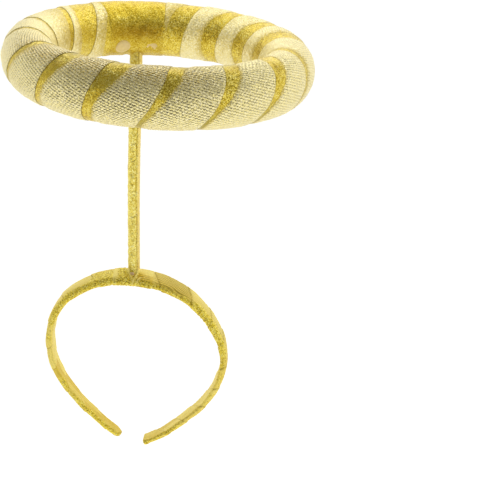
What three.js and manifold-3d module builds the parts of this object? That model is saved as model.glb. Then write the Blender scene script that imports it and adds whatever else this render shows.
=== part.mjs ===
import * as THREE from "three";
import { mergeVertices } from "three/addons/utils/BufferGeometryUtils.js";
import Module from "manifold-3d";

// A halo headband: a padded ring wound with ribbon, held over the head by a wrapped stem on a
// springy headband. Millimetres, +Z up, -Y to the front. The origin is the head seat, the
// middle of the headband's inner face at the crown.

// Headband
const headRadius = 62;
const bandWidth = 22.4;
const bandLeftTipWidth = 9.6;
const bandRightTipWidth = 14;
const bandThickness = 5.6;
const bandTipThickness = 3.8;
const bandEdgeBevel = 1.2;
const bandLeftTipRound = 4.5;
const bandRightTipRound = 1.2;
const bandLeftTwistDeg = -3.5;
const bandRightTwistDeg = 5;

// Stem, and how the halo sits on it
const stemDiameter = 8.4;
const stemOffset = -7;
const stemRise = 161.4;
const stemLeanSide = -3.6;
const stemLeanBack = 0.6;
const stemSocketDepth = 12;
const stemAroundDeg = 107;
const stemInwardDeg = 22;
const haloLeanDeg = 1;
const haloDropDeg = 0.65;

// Halo ring
const haloRadius = 80;
const coreWidth = 31.4;
const coreHeight = 34;

// Cloth and glue
const ribbonThickness = 1;
const wrapThickness = 1;
const wrapStartDeg = 92;
const wrapEndDeg = 124.5;
const footWrapThickness = 1;
const footWrapLength = 27;
const footCollarHeight = 5;
const footCollarFlare = 2.2;
const glueDiameter = 12;
const glueThickness = 1;
const glueBesideStem = 10;
const glueInwardDeg = 58;

// Gap between pieces that touch, and the extra lift with which flat facets clear a round core
const clearance = 0.3;
const facetSlack = 0.25;

// How finely the round forms are cut
const haloSteps = 72;
const tubeSteps = 20;
const bandSteps = 60;
const stemSides = 16;

// Inner outline of the headband. The angle turns from the crown, with the wearer's side seen
// at the left negative, and reach is a share of the head radius.
const bandOutline = [
  { angle: -170, reach: 1.161 },
  { angle: -150, reach: 1.022 },
  { angle: -125, reach: 0.977 },
  { angle: -90, reach: 1.04 },
  { angle: -60, reach: 1.079 },
  { angle: -30, reach: 0.999 },
  { angle: 0, reach: 0.911 },
  { angle: 30, reach: 0.885 },
  { angle: 60, reach: 0.896 },
  { angle: 90, reach: 0.958 },
  { angle: 125, reach: 0.981 },
  { angle: 150, reach: 1.024 },
  { angle: 177, reach: 1.205 },
];

// Each turn of the ribbon, by the angle round the halo where its leading edge crosses the top,
// and the bare strip that follows it there, in degrees.
const ribbonTurns = [
  { edge: 111, bare: 10 },
  { edge: 131, bare: 11.5 },
  { edge: 148.5, bare: 18 },
  { edge: 171, bare: 3 },
  { edge: 189, bare: 5 },
  { edge: 212.5, bare: 6.5 },
  { edge: 233, bare: 7 },
  { edge: 254, bare: 9.5 },
  { edge: 278, bare: 6 },
  { edge: 300, bare: 7 },
  { edge: 322.5, bare: 8 },
  { edge: 344, bare: 4 },
  { edge: 368, bare: 9.5 },
  { edge: 389, bare: 10 },
  { edge: 411, bare: 10.5 },
  { edge: 433, bare: 11 },
  { edge: 455, bare: 10 },
  { edge: 477, bare: 10 },
];

// How the ribbon runs round the tube. Side 0 is the outside, 90 the top and 180 the hole's side.
// Lean is the turn's lead over an even helix in degrees, bare the share of its bare strip.
const ribbonSides = [
  { side: 0, lean: -0.5, bare: 0.45 },
  { side: 45, lean: 0.5, bare: 0.8 },
  { side: 90, lean: 0, bare: 1 },
  { side: 135, lean: 0.8, bare: 1.05 },
  { side: 180, lean: 1.7, bare: 0.95 },
  { side: 225, lean: 1, bare: 0.7 },
  { side: 270, lean: -1.2, bare: 0.45 },
  { side: 315, lean: -2.3, bare: 0.38 },
];
const ribbonTopSide = 90;
const ribbonAcross = 3;
const ribbonLeastWidthDeg = 1.5;

const glitterCloth = new THREE.MeshStandardMaterial({ color: 0xcfae35, roughness: 0.45, metalness: 0.5 });
const paleRibbon = new THREE.MeshStandardMaterial({ color: 0xe6dca2, roughness: 0.4, metalness: 0.35 });
const bandRibbon = new THREE.MeshStandardMaterial({ color: 0xd2b23c, roughness: 0.4, metalness: 0.5 });
const hotGlue = new THREE.MeshStandardMaterial({ color: 0xe6cf9f, roughness: 0.3, metalness: 0 });

const radians = THREE.MathUtils.degToRad;
const wasm = await Module();
wasm.setup();

// A smooth curve through a table's column, repeating after a period where one is given
function curveThrough(rows, key, column, period = 0) {
  const last = rows.length - 1;
  const wrapped = (index) => ((index % rows.length) + rows.length) % rows.length;
  const at = (index) => {
    if (period) {
      const turns = Math.floor(index / rows.length);
      const row = rows[wrapped(index)];
      return { x: row[key] + turns * period, y: row[column] };
    }
    const row = rows[Math.min(Math.max(index, 0), last)];
    return { x: row[key], y: row[column] };
  };
  const slope = (index) => {
    const before = at(index - 1);
    const after = at(index + 1);
    return after.x === before.x ? 0 : (after.y - before.y) / (after.x - before.x);
  };
  return (x) => {
    let shifted = x;
    if (period) {
      shifted = rows[0][key] + ((((x - rows[0][key]) % period) + period) % period);
    }
    let index = 0;
    const end = period ? rows.length - 1 : last - 1;
    while (index < end && at(index + 1).x < shifted) {
      index += 1;
    }
    const a = at(index);
    const b = at(index + 1);
    const span = b.x - a.x;
    const t = (shifted - a.x) / span;
    const t2 = t * t;
    const t3 = t2 * t;
    return a.y * (2 * t3 - 3 * t2 + 1)
      + slope(index) * span * (t3 - 2 * t2 + t)
      + b.y * (3 * t2 - 2 * t3)
      + slope(index + 1) * span * (t3 - t2);
  };
}

// A closed geometry from points and triangles, turned so that its faces point out
function closedGeometry(points, triangles) {
  const positions = new Float32Array(points.length * 3);
  points.forEach((point, index) => point.toArray(positions, index * 3));
  let volume = 0;
  for (const [a, b, c] of triangles) {
    volume += points[a].dot(new THREE.Vector3().crossVectors(points[b], points[c]));
  }
  const turned = volume < 0 ? triangles.map(([a, b, c]) => [a, c, b]) : triangles;
  const geometry = new THREE.BufferGeometry();
  geometry.setAttribute("position", new THREE.BufferAttribute(positions, 3));
  geometry.setIndex(turned.flat());
  geometry.computeVertexNormals();
  return geometry;
}

function addQuad(triangles, a, b, c, d) {
  triangles.push([a, b, c], [a, c, d]);
}

// A solid whose surface is a grid that closes on itself both ways
function ringSolid(grid) {
  const rows = grid.length;
  const columns = grid[0].length;
  const triangles = [];
  for (let i = 0; i < rows; i += 1) {
    for (let j = 0; j < columns; j += 1) {
      const nextRow = ((i + 1) % rows) * columns;
      const nextColumn = (j + 1) % columns;
      addQuad(triangles, i * columns + j, i * columns + nextColumn, nextRow + nextColumn, nextRow + j);
    }
  }
  return closedGeometry(grid.flat(), triangles);
}

// A solid lofted through closed sections, with a flat cap at each end
function loftSolid(sections) {
  const columns = sections[0].length;
  const points = sections.flat();
  const triangles = [];
  for (let i = 0; i + 1 < sections.length; i += 1) {
    for (let j = 0; j < columns; j += 1) {
      const next = (j + 1) % columns;
      const row = i * columns;
      addQuad(triangles, row + j, row + next, row + columns + next, row + columns + j);
    }
  }
  const lastRow = (sections.length - 1) * columns;
  for (let j = 1; j + 1 < columns; j += 1) {
    triangles.push([0, j + 1, j], [lastRow, lastRow + j, lastRow + j + 1]);
  }
  return closedGeometry(points, triangles);
}

// A wall between an inner and an outer grid. Its columns close on themselves where it is a sleeve.
function wallSolid(inner, outer, isSleeve) {
  const rows = inner.length;
  const columns = inner[0].length;
  const points = [...inner.flat(), ...outer.flat()];
  const offset = rows * columns;
  const triangles = [];
  const lastColumn = isSleeve ? columns : columns - 1;
  for (let i = 0; i + 1 < rows; i += 1) {
    for (let j = 0; j < lastColumn; j += 1) {
      const next = (j + 1) % columns;
      const a = i * columns + j;
      const b = i * columns + next;
      addQuad(triangles, a, a + columns, b + columns, b);
      addQuad(triangles, offset + a, offset + b, offset + b + columns, offset + a + columns);
    }
    if (!isSleeve) {
      const left = i * columns;
      const right = left + columns - 1;
      addQuad(triangles, left, offset + left, offset + left + columns, left + columns);
      addQuad(triangles, right, right + columns, offset + right + columns, offset + right);
    }
  }
  for (let j = 0; j < lastColumn; j += 1) {
    const next = (j + 1) % columns;
    const row = (rows - 1) * columns;
    addQuad(triangles, j, next, offset + next, offset + j);
    addQuad(triangles, row + j, offset + row + j, offset + row + next, row + next);
  }
  return closedGeometry(points, triangles);
}

function toManifold(geometry) {
  const bare = geometry.clone();
  bare.deleteAttribute("normal");
  bare.deleteAttribute("uv");
  const merged = mergeVertices(bare, 1e-5);
  const vertProperties = new Float32Array(merged.attributes.position.array);
  const triVerts = new Uint32Array(merged.index.array);
  return new wasm.Manifold(new wasm.Mesh({ numProp: 3, vertProperties, triVerts }));
}

function fromManifold(solid) {
  const mesh = solid.getMesh();
  const geometry = new THREE.BufferGeometry();
  geometry.setAttribute("position", new THREE.BufferAttribute(mesh.vertProperties, 3));
  geometry.setIndex(new THREE.BufferAttribute(mesh.triVerts, 1));
  geometry.computeVertexNormals();
  return geometry;
}

// Headband: places along it, its sections, and the solid

const reachAt = curveThrough(bandOutline, "angle", "reach");
const outlineStart = bandOutline[0].angle;
const outlineEnd = bandOutline[bandOutline.length - 1].angle;
const outlineSamples = 240;

function outlinePoint(angle) {
  const reach = reachAt(angle) * headRadius;
  const crown = reachAt(0) * headRadius;
  return new THREE.Vector3(Math.sin(radians(angle)) * reach, 0, Math.cos(radians(angle)) * reach - crown);
}

const outlinePoints = [];
for (let i = 0; i <= outlineSamples; i += 1) {
  outlinePoints.push(outlinePoint(outlineStart + ((outlineEnd - outlineStart) * i) / outlineSamples));
}
const outlineLengths = [0];
for (let i = 1; i <= outlineSamples; i += 1) {
  outlineLengths.push(outlineLengths[i - 1] + outlinePoints[i].distanceTo(outlinePoints[i - 1]));
}
const bandLength = outlineLengths[outlineSamples];

// The angle from the crown at a distance along the inner outline
function angleAlong(distance) {
  let index = 0;
  while (index + 2 < outlineLengths.length && outlineLengths[index + 1] < distance) {
    index += 1;
  }
  const share = (distance - outlineLengths[index]) / (outlineLengths[index + 1] - outlineLengths[index]);
  return outlineStart + ((outlineEnd - outlineStart) * (index + share)) / outlineSamples;
}

function distanceAtSide(x) {
  let index = outlinePoints.findIndex((point) => point.x > x && point.z > -headRadius);
  index = Math.max(index, 1);
  const before = outlinePoints[index - 1];
  const share = (x - before.x) / (outlinePoints[index].x - before.x);
  return outlineLengths[index - 1] + share * (outlineLengths[index] - outlineLengths[index - 1]);
}

// Where the band is at a distance along it: its inner point, outward direction and sizes
function bandPlace(distance) {
  const angle = angleAlong(Math.min(Math.max(distance, 0), bandLength));
  const step = 0.5;
  const tangent = outlinePoint(angle + step).sub(outlinePoint(angle - step)).normalize();
  const outward = new THREE.Vector3(-tangent.z, 0, tangent.x);
  const isRight = angle > 0;
  const share = Math.abs(angle) / (isRight ? outlineEnd : -outlineStart);
  const tipWidth = isRight ? bandRightTipWidth : bandLeftTipWidth;
  const tipTwist = isRight ? bandRightTwistDeg : bandLeftTwistDeg;
  const tipRound = isRight ? bandRightTipRound : bandLeftTipRound;
  const fromTip = Math.min(distance, bandLength - distance);
  const rounding = fromTip < tipRound ? tipRound - Math.sqrt(tipRound ** 2 - (tipRound - fromTip) ** 2) : 0;
  return {
    point: outlinePoint(angle),
    outward,
    width: bandWidth + (tipWidth - bandWidth) * share - 2 * rounding,
    thickness: bandThickness + (bandTipThickness - bandThickness) * share,
    twist: radians(tipTwist) * share ** 2,
  };
}

// The band's section with bevelled edges, grown by an offset all round
function bandSection(distance, grow = 0) {
  const place = bandPlace(distance);
  const half = place.width / 2 + grow;
  const bevel = Math.min(bandEdgeBevel, place.thickness * 0.35) + grow * 0.5;
  const low = -grow;
  const high = place.thickness + grow;
  const corners = [
    [-half, low + bevel], [-half + bevel, low], [half - bevel, low], [half, low + bevel],
    [half, high - bevel], [half - bevel, high], [-half + bevel, high], [-half, high - bevel],
  ];
  return corners.map(([across, out]) => {
    const lift = out + across * Math.sin(place.twist);
    const point = place.point.clone().addScaledVector(place.outward, lift);
    point.y += across * Math.cos(place.twist);
    return point;
  });
}

function bandStations() {
  const tipShares = [0.04, 0.3, 0.65];
  const left = tipShares.map((share) => share * bandLeftTipRound);
  const right = tipShares.map((share) => bandLength - share * bandRightTipRound).reverse();
  const first = bandLeftTipRound;
  const last = bandLength - bandRightTipRound;
  const middle = [];
  for (let i = 0; i <= bandSteps; i += 1) {
    middle.push(first + ((last - first) * i) / bandSteps);
  }
  return [...left, ...middle, ...right];
}

function makeHeadband() {
  return loftSolid(bandStations().map((distance) => bandSection(distance)));
}

// The stretch of the band under the stem, grown by an offset
function bandStretch(length, grow) {
  const middle = distanceAtSide(stemOffset);
  const steps = 12;
  const sections = [];
  for (let i = 0; i <= steps; i += 1) {
    sections.push(bandSection(middle - length / 2 + (length * i) / steps, grow));
  }
  return loftSolid(sections);
}

// Halo: a point on the tube by its angle round the halo, its side and its lift off the core

function haloPoint(aroundDeg, sideDeg, lift) {
  const side = radians(sideDeg);
  const around = radians(aroundDeg);
  const radius = haloRadius + (coreWidth / 2 + lift) * Math.cos(side);
  const height = (coreHeight / 2 + lift) * Math.sin(side);
  return new THREE.Vector3(radius * Math.cos(around), radius * Math.sin(around), height);
}

const clothLift = clearance + facetSlack;
const wrapLift = clothLift + wrapThickness;
const underSide = 270;

const foot = bandPlace(distanceAtSide(stemOffset));
const stemFoot = foot.point.clone().addScaledVector(foot.outward, foot.thickness);
const stemEntry = stemFoot.clone().add(new THREE.Vector3(stemLeanSide, stemLeanBack, stemRise));
const stemAxis = stemEntry.clone().sub(stemFoot).normalize();

const halo = new THREE.Group();
halo.rotation.x = radians(haloDropDeg);
halo.rotation.y = radians(haloLeanDeg);
halo.position.copy(stemEntry).sub(
  haloPoint(stemAroundDeg, underSide - stemInwardDeg, wrapLift).applyEuler(halo.rotation),
);
halo.updateMatrixWorld(true);

// A cylinder on the stem's axis, between two distances from its foot
function onStemAxis(radius, from, to) {
  const geometry = new THREE.CylinderGeometry(radius, radius, to - from, stemSides);
  geometry.translate(0, (from + to) / 2, 0);
  geometry.applyQuaternion(new THREE.Quaternion().setFromUnitVectors(new THREE.Vector3(0, 1, 0), stemAxis));
  geometry.translate(stemFoot.x, stemFoot.y, stemFoot.z);
  return geometry;
}

const stemRadius = stemDiameter / 2;
const stemReach = stemEntry.distanceTo(stemFoot);
const stemTop = stemReach + stemSocketDepth;

// The stem starts below the band's face and is cut back to it, so that its end follows the curve
function makeStem() {
  const rod = toManifold(onStemAxis(stemRadius, -bandThickness / 2, stemTop));
  const band = toManifold(bandStretch(footWrapLength, clearance));
  return fromManifold(rod.subtract(band));
}

function stemBoreInHalo() {
  const bore = onStemAxis(stemRadius + clearance, stemReach - coreHeight / 2, stemTop + clearance);
  bore.applyMatrix4(halo.matrixWorld.clone().invert());
  return toManifold(bore);
}

// A sleeve of cloth round the band, with a flared collar up the stem's foot
function makeFootWrap() {
  const sleeve = toManifold(bandStretch(footWrapLength, clearance + footWrapThickness));
  const collarRadius = stemRadius + clearance + footWrapThickness;
  const flare = new THREE.CylinderGeometry(
    collarRadius, collarRadius + footCollarFlare, footCollarHeight + bandThickness, stemSides,
  );
  flare.translate(0, (footCollarHeight - bandThickness) / 2 + clearance + footWrapThickness, 0);
  flare.applyQuaternion(new THREE.Quaternion().setFromUnitVectors(new THREE.Vector3(0, 1, 0), stemAxis));
  flare.translate(stemFoot.x, stemFoot.y, stemFoot.z);
  const band = toManifold(bandStretch(footWrapLength + 2 * footWrapThickness, clearance));
  const bore = toManifold(onStemAxis(stemRadius + clearance, -bandThickness / 2, stemRise / 2));
  return fromManifold(sleeve.add(toManifold(flare)).subtract(band).subtract(bore));
}

function makeHaloRing() {
  const grid = [];
  for (let i = 0; i < haloSteps; i += 1) {
    const row = [];
    for (let j = 0; j < tubeSteps; j += 1) {
      row.push(haloPoint((360 * i) / haloSteps, (360 * j) / tubeSteps, 0));
    }
    grid.push(row);
  }
  return fromManifold(toManifold(ringSolid(grid)).subtract(stemBoreInHalo()));
}

// The wide wrap of glitter cloth round the tube where the stem goes in
function makeBackWrap() {
  const steps = Math.ceil(((wrapEndDeg - wrapStartDeg) * haloSteps) / 360);
  const inner = [];
  const outer = [];
  for (let i = 0; i <= steps; i += 1) {
    const around = wrapStartDeg + ((wrapEndDeg - wrapStartDeg) * i) / steps;
    const innerRow = [];
    const outerRow = [];
    for (let j = 0; j < tubeSteps; j += 1) {
      const side = (360 * j) / tubeSteps;
      innerRow.push(haloPoint(around, side, clothLift));
      outerRow.push(haloPoint(around, side, wrapLift));
    }
    inner.push(innerRow);
    outer.push(outerRow);
  }
  return fromManifold(toManifold(wallSolid(inner, outer, true)).subtract(stemBoreInHalo()));
}

// Ribbon: its leading and trailing edge in degrees round the halo, by turns since the first row

const turnRows = ribbonTurns.map((row, turn) => ({ ...row, turn }));
const edgeOfTurn = curveThrough(turnRows, "turn", "edge");
const bareOfTurn = curveThrough(turnRows, "turn", "bare");
const leanOfSide = curveThrough(ribbonSides, "side", "lean", 360);
const bareOfSide = curveThrough(ribbonSides, "side", "bare", 360);

function leadingEdge(turn, side) {
  return edgeOfTurn(turn) + leanOfSide(side);
}

function trailingEdge(turn, side) {
  return leadingEdge(turn - 1, side) + bareOfTurn(turn - 1) * bareOfSide(side);
}

function makeHaloRibbon() {
  const gapDeg = THREE.MathUtils.radToDeg(clearance / (haloRadius - coreWidth / 2));
  const lowest = wrapEndDeg + gapDeg;
  const highest = wrapStartDeg + 360 - gapDeg;
  const inner = [];
  const outer = [];
  const lastTurn = ribbonTurns.length - 1;
  for (let step = 1; step <= lastTurn * tubeSteps; step += 1) {
    const turn = step / tubeSteps;
    const side = ribbonTopSide + 360 * turn;
    const from = Math.max(trailingEdge(turn, side), lowest);
    const leading = Math.min(leadingEdge(turn, side), highest);
    const hasBegun = leading > lowest + ribbonLeastWidthDeg;
    if (from > highest - ribbonLeastWidthDeg) {
      break;
    }
    if (hasBegun) {
      const to = Math.max(leading, from + ribbonLeastWidthDeg);
      const innerRow = [];
      const outerRow = [];
      for (let j = 0; j <= ribbonAcross; j += 1) {
        const around = from + ((to - from) * j) / ribbonAcross;
        innerRow.push(haloPoint(around, side, clothLift));
        outerRow.push(haloPoint(around, side, clothLift + ribbonThickness));
      }
      inner.push(innerRow);
      outer.push(outerRow);
    }
  }
  return wallSolid(inner, outer, false);
}

// A flat round blob, bent onto the wrap beside the stem
function makeGlueDisc() {
  const radius = glueDiameter / 2;
  const rim = glueThickness * 0.4;
  const profile = [
    new THREE.Vector2(0, 0),
    new THREE.Vector2(radius - rim, 0),
    new THREE.Vector2(radius, rim),
    new THREE.Vector2(radius - 2 * rim, glueThickness),
    new THREE.Vector2(0, glueThickness),
  ];
  const disc = new THREE.LatheGeometry(profile, 20);
  disc.deleteAttribute("normal");
  disc.deleteAttribute("uv");
  const merged = mergeVertices(disc, 1e-4);
  const side = underSide - glueInwardDeg;
  const tubeRadius = (coreWidth + coreHeight) / 4 + wrapLift;
  const ringRadius = haloRadius + tubeRadius * Math.cos(radians(side));
  const middle = stemAroundDeg + THREE.MathUtils.radToDeg(glueBesideStem / ringRadius);
  const position = merged.attributes.position;
  const points = [];
  for (let i = 0; i < position.count; i += 1) {
    const around = middle + THREE.MathUtils.radToDeg(position.getX(i) / ringRadius);
    const turned = side + THREE.MathUtils.radToDeg(position.getZ(i) / tubeRadius);
    points.push(haloPoint(around, turned, wrapLift + clearance + position.getY(i)));
  }
  const index = merged.index.array;
  const triangles = [];
  for (let i = 0; i < index.length; i += 3) {
    triangles.push([index[i], index[i + 1], index[i + 2]]);
  }
  return closedGeometry(points, triangles);
}

function piece(name, geometry, material) {
  const mesh = new THREE.Mesh(geometry, material);
  mesh.name = name;
  return mesh;
}

const part = new THREE.Group();
part.add(
  piece("headband", makeHeadband(), bandRibbon),
  piece("foot_wrap", makeFootWrap(), glitterCloth),
  piece("stem", makeStem(), glitterCloth),
);
halo.add(
  piece("halo_ring", makeHaloRing(), glitterCloth),
  piece("halo_ribbon", makeHaloRibbon(), paleRibbon),
  piece("back_wrap", makeBackWrap(), glitterCloth),
  piece("glue_disc", makeGlueDisc(), hotGlue),
);
part.add(halo);

export default part;
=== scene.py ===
"""Looks of a halo headband: a padded ring wound with pale ribbon, on a wrapped stem and a wound
headband. Sizes are in millimetres and become metres when a mesh is made. +Z is up, -Y the front.
"""

import math

import bpy
import numpy as np
from mathutils import Matrix, Vector


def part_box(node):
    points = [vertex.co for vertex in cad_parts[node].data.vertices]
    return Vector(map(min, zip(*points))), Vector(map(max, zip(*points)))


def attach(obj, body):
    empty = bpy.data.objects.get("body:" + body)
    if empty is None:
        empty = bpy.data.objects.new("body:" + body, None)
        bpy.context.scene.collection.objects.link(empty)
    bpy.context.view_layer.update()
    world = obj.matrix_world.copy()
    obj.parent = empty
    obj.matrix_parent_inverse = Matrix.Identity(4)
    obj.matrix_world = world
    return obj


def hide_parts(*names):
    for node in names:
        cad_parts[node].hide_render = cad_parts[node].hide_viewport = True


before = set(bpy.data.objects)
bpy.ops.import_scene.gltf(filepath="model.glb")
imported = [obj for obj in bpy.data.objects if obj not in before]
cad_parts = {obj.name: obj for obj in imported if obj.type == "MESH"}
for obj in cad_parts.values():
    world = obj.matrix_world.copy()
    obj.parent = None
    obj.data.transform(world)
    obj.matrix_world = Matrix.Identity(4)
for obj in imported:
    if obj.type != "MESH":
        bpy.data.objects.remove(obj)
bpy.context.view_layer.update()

MM = 0.001

# Headband, as the solids have it
HEAD_RADIUS = 62
BAND_WIDTH = 22.4
BAND_TIP_WIDTHS = {"left": 9.6, "right": 14}
BAND_THICKNESS = 5.6
BAND_TIP_THICKNESS = 3.8
BAND_TIP_ROUNDS = {"left": 4.5, "right": 1.2}
BAND_TIP_TWISTS = {"left": -3.5, "right": 5}
BAND_OUTLINE = [
    (-170, 1.161), (-150, 1.022), (-125, 0.977), (-90, 1.04), (-60, 1.079), (-30, 0.999),
    (0, 0.911), (30, 0.885), (60, 0.896), (90, 0.958), (125, 0.981), (150, 1.024), (177, 1.205),
]

# Stem and halo, as the solids have them
STEM_DIAMETER = 8.4
STEM_OFFSET = -7
STEM_RISE = 161.4
STEM_LEAN_SIDE = -3.6
STEM_LEAN_BACK = 0.6
STEM_AROUND = 107
STEM_INWARD = 22
HALO_LEAN = 1
HALO_DROP = 0.65
HALO_RADIUS = 80
CORE_WIDTH = 31.4
CORE_HEIGHT = 34
WRAP_START = 92
WRAP_END = 124.5
UNDER_SIDE = 270

# Each turn of the halo's ribbon: its leading edge at the top and the bare strip after it, degrees
RIBBON_TURNS = [
    (111, 10), (129, 13), (147, 5), (171, 1.2), (189, 1.6), (212.5, 3.6), (233, 7), (254, 9.5),
    (278, 6), (300, 7), (322.5, 8), (344, 4), (368, 9.5), (389, 10), (411, 10.5), (433, 11), (455, 10),
    (477, 10),
]
# How much of each turn's trailing side is sheer, in millimetres, where it isn't the usual width
SHEER_WIDTH = 2.4
SHEER_TURNS = {1: 16, 3: 21, 4: 4, 5: 4, 6: 7, 12: 5, 13: 6, 16: 12, 17: 40}
# Round the tube: side, the lead over an even helix in degrees, and the bare strip's share
RIBBON_SIDES = [
    (0, -0.5, 0.45), (45, 0.5, 0.8), (90, 0, 1), (135, 0.8, 1.05),
    (180, 1.7, 0.95), (225, 1, 0.7), (270, -1.2, 0.45), (315, -2.3, 0.38),
]
RIBBON_TOP_SIDE = 90
RIBBON_LEAST_WIDTH = 1.5
RIBBON_HELIX = 18

# Seams of the headband's winding: distance along the band from the left tip
BAND_SEAMS = [
    -12, 10, 31, 52, 73, 90, 110, 131, 156, 178, 200, 225, 246, 264, 283, 301, 319, 338, 354, 372, 392,
]

# Camera, in the part's frame
CAMERA_PLACE = Vector((61.71, -843.14, 384.70))
CAMERA_AIM = Vector((75.59, -30, 46.48))
CAMERA_ROLL = 3.664
CAMERA_LENS = 91.47
CAMERA_SENSOR = 36

TENT_OPENING = Vector((-0.35, -1, 1.35))
FLOOR_DROP = 800
FLOOR_HALF = 6000


def unit(vectors):
    return vectors / np.linalg.norm(vectors, axis=-1, keepdims=True)


def smooth_step(low, high, x):
    t = np.clip((x - low) / (high - low), 0, 1)
    return t * t * (3 - 2 * t)


def hump(x, width):
    return np.exp(-((x / width) ** 2))


def curve_through(rows, column=1, period=0):
    """A smooth curve through a table's column, repeating after a period where one is given."""
    xs = np.array([row[0] for row in rows], float)
    ys = np.array([row[column] for row in rows], float)
    start = xs[0]
    if period:
        xs = np.concatenate([xs[-1:] - period, xs, xs[:2] + period])
        ys = np.concatenate([ys[-1:], ys, ys[:2]])
    before = np.maximum(np.arange(len(xs)) - 1, 0)
    after = np.minimum(np.arange(len(xs)) + 1, len(xs) - 1)
    slopes = (ys[after] - ys[before]) / (xs[after] - xs[before])

    def at(x):
        x = np.asarray(x, float)
        if period:
            x = start + np.mod(x - start, period)
        i = np.clip(np.searchsorted(xs, x) - 1, 0, len(xs) - 2)
        span = xs[i + 1] - xs[i]
        t = (x - xs[i]) / span
        low = ys[i] * (2 * t**3 - 3 * t**2 + 1) + slopes[i] * span * (t**3 - 2 * t**2 + t)
        high = ys[i + 1] * (3 * t**2 - 2 * t**3) + slopes[i + 1] * span * (t**3 - t**2)
        return low + high

    return at


def wave_field(points, wavelength, seed, count=12):
    """A smooth random height of about -1 to 1 at each point, as a sum of plane waves."""
    chance = np.random.default_rng(seed)
    ways = unit(chance.normal(size=(count, 3)))
    lengths = wavelength * chance.uniform(0.7, 1.4, count)
    shifts = chance.uniform(0, 2 * math.pi, count)
    total = np.zeros(points.shape[:-1])
    for way, length, shift in zip(ways, lengths, shifts):
        total += np.sin(points @ way * (2 * math.pi / length) + shift)
    return total / math.sqrt(2 * count)


# Meshes


def grid_object(
    name, points, materials, ring_rows=False, ring_columns=True, caps=False, layers=None, pick=None,
):
    """A closed object from a grid of points. layers holds UV maps by name, each a grid that has one
    more row or column where the points close on themselves. pick gives each face's material."""
    rows, columns = points.shape[:2]
    i, j = np.meshgrid(
        np.arange(rows if ring_rows else rows - 1),
        np.arange(columns if ring_columns else columns - 1),
        indexing="ij",
    )
    i, j = i.ravel(), j.ravel()
    corners = [(i, j), (i, j + 1), (i + 1, j + 1), (i + 1, j)]
    faces = np.stack([(a % rows) * columns + b % columns for a, b in corners], -1)
    flat = points.reshape(-1, 3)
    ends = []
    if caps:
        flat = np.concatenate([flat, points[0].mean(0)[None], points[-1].mean(0)[None]])
        first, last, tail = rows * columns, rows * columns + 1, (rows - 1) * columns
        for k in range(columns):
            after = (k + 1) % columns
            ends.append([first, after, k])
            ends.append([last, tail + k, tail + after])
    a, b, c, d = (flat[faces[:, k]] for k in range(4))
    volume = (a * np.cross(b, c)).sum() + (a * np.cross(c, d)).sum()
    is_inside_out = volume < 0
    if is_inside_out:
        faces = faces[:, ::-1]
        ends = [end[::-1] for end in ends]
    mesh = bpy.data.meshes.new(name)
    mesh.from_pydata((flat * MM).tolist(), [], faces.tolist() + ends)
    for layer_name, grid in (layers or {}).items():
        last_row, last_column = len(grid) - 1, grid.shape[1] - 1
        values = [grid[np.minimum(a, last_row), np.minimum(b, last_column)] for a, b in corners]
        values = np.stack(values, 1)
        if is_inside_out:
            values = values[:, ::-1]
        values = np.concatenate([values.reshape(-1, 2), np.zeros((3 * len(ends), 2))])
        mesh.uv_layers.new(name=layer_name).data.foreach_set("uv", values.ravel())
    for material in materials:
        mesh.materials.append(material)
    if pick is not None:
        chosen = np.concatenate([pick(i, j), np.zeros(len(ends), int)])
        mesh.polygons.foreach_set("material_index", chosen.astype(np.int32))
    mesh.shade_smooth()
    mesh.set_sharp_from_angle(angle=math.radians(50))
    mesh.update()
    made = bpy.data.objects.new(name, mesh)
    bpy.context.scene.collection.objects.link(made)
    return made


def single(values):
    """A UV grid that carries one value."""
    return np.stack([values, 0 * values], -1)


def closed_round(grids):
    """UV grids that close round a piece: each has its first column once more at the end."""
    return {name: np.concatenate([grid, grid[:, :1]], 1) for name, grid in grids.items()}


def sleeve_layers(grids):
    """UV grids for a sleeve, whose inner wall runs back along its outer one."""
    walls = {name: np.concatenate([grid[::-1], grid, grid[-1:]]) for name, grid in grids.items()}
    return closed_round(walls)


# Headband: places along it


reach_at = curve_through(BAND_OUTLINE)


def outline_point(angle):
    reach = reach_at(angle) * HEAD_RADIUS
    crown = reach_at(0) * HEAD_RADIUS
    turned = np.radians(angle)
    return np.stack([np.sin(turned) * reach, 0 * reach, np.cos(turned) * reach - crown], -1)


outline_angles = np.linspace(BAND_OUTLINE[0][0], BAND_OUTLINE[-1][0], 241)
outline_points = outline_point(outline_angles)
outline_steps = np.linalg.norm(np.diff(outline_points, axis=0), axis=1)
outline_lengths = np.concatenate([[0], np.cumsum(outline_steps)])
band_length = outline_lengths[-1]


def band_place(distance):
    """Where the band is at distances along it: inner points, outward directions and sizes."""
    distance = np.asarray(distance, float)
    angle = np.interp(distance, outline_lengths, outline_angles)
    tangent = unit(outline_point(angle + 0.5) - outline_point(angle - 0.5))
    outward = np.stack([-tangent[..., 2], 0 * angle, tangent[..., 0]], -1)
    is_right = angle > 0

    def by_side(sizes):
        return np.where(is_right, sizes["right"], sizes["left"])

    share = np.abs(angle) / np.where(is_right, outline_angles[-1], -outline_angles[0])
    rounding = by_side(BAND_TIP_ROUNDS)
    to_tip = np.clip(rounding - np.minimum(distance, band_length - distance), 0, rounding)
    cut = rounding - np.sqrt(rounding**2 - to_tip**2)
    return {
        "point": outline_point(angle),
        "outward": outward,
        "width": BAND_WIDTH + (by_side(BAND_TIP_WIDTHS) - BAND_WIDTH) * share - 2 * cut,
        "thickness": BAND_THICKNESS + (BAND_TIP_THICKNESS - BAND_THICKNESS) * share,
        "twist": np.radians(by_side(BAND_TIP_TWISTS)) * share**2,
    }


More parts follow.
